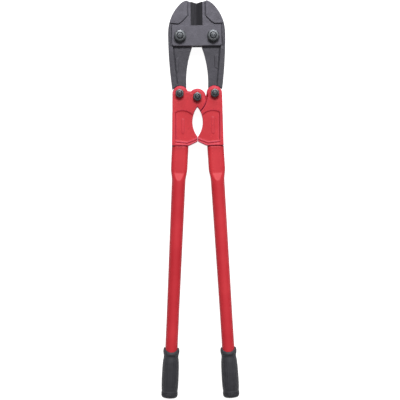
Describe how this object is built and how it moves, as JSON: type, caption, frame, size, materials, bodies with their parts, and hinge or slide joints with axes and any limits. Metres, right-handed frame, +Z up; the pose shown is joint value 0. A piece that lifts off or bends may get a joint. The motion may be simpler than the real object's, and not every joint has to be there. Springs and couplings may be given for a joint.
{
  "type": "bolt cutters",
  "caption": "Long-handled compound-lever bolt cutters lying flat with jaws closed: dark forged jaws and strap plates, red tubular handles that swing apart, black rubber grips.",
  "frame": {"origin": "on the bench under the middle of the tool's length and width, with the tool lying flat", "axes": "+X across the tool to the right handle, +Y from the grips to the jaw tips, +Z up through the front strap"},
  "size_m": [0.1774, 0.9, 0.0585],
  "materials": {
    "forged_steel": "drop-forged alloy steel with a thin dark grey satin coating",
    "bolt_steel": "blackened steel, bright on the rubbed corners",
    "red_enamel": "satin red powder coat over cast and tubular steel",
    "black_rubber": "moulded matt black rubber"
  },
  "bodies": {
    "head": {"front_strap": "forged_steel", "rear_strap": "forged_steel", "left_jaw_bolt": "bolt_steel", "left_jaw_nut": "bolt_steel", "left_tab_washer": "bolt_steel", "left_jaw_washer": "bolt_steel", "right_jaw_bolt": "bolt_steel", "right_jaw_nut": "bolt_steel", "right_tab_washer": "bolt_steel", "right_jaw_washer": "bolt_steel"},
    "left_jaw": {"left_jaw": "forged_steel"},
    "right_jaw": {"right_jaw": "forged_steel"},
    "left_handle": {"left_handle_head": "red_enamel", "left_tube": "red_enamel", "left_grip": "black_rubber", "left_link_bolt": "bolt_steel", "left_link_nut": "bolt_steel", "left_link_spring_washer": "bolt_steel", "left_link_washer": "bolt_steel", "centre_bolt": "bolt_steel", "centre_nut": "bolt_steel", "centre_spring_washer": "bolt_steel", "centre_washer": "bolt_steel"},
    "right_handle": {"right_handle_head": "red_enamel", "right_tube": "red_enamel", "right_grip": "black_rubber", "right_link_bolt": "bolt_steel", "right_link_nut": "bolt_steel", "right_link_spring_washer": "bolt_steel", "right_link_washer": "bolt_steel"}
  },
  "joints": [
    {"name": "right_jaw_pivot", "type": "hinge", "parent": "head", "child": "right_jaw", "pos_m": [0.0374, 0.3684, 0.0275], "axis": [0, 0, 1], "range_deg": [-6.83, 0]},
    {"name": "left_jaw_pivot", "type": "hinge", "parent": "head", "child": "left_jaw", "pos_m": [-0.0374, 0.3684, 0.0275], "axis": [0, 0, 1], "range_deg": [0, 6.83]},
    {"name": "right_handle_pivot", "type": "hinge", "parent": "right_jaw", "child": "right_handle", "pos_m": [0.0398, 0.2395, 0.0275], "axis": [0, 0, 1], "range_deg": [0, 51.8]},
    {"name": "left_handle_pivot", "type": "hinge", "parent": "left_jaw", "child": "left_handle", "pos_m": [-0.0398, 0.2395, 0.0275], "axis": [0, 0, 1], "range_deg": [-51.82, 0]}
  ],
  "couplings": [
    {"joint": "left_handle_pivot", "follows": "right_handle_pivot", "ratio": -1},
    {"joint": "right_jaw_pivot", "follows": "right_handle_pivot", "ratio": -0.13142},
    {"joint": "left_jaw_pivot", "follows": "right_handle_pivot", "ratio": 0.13142}
  ]
}
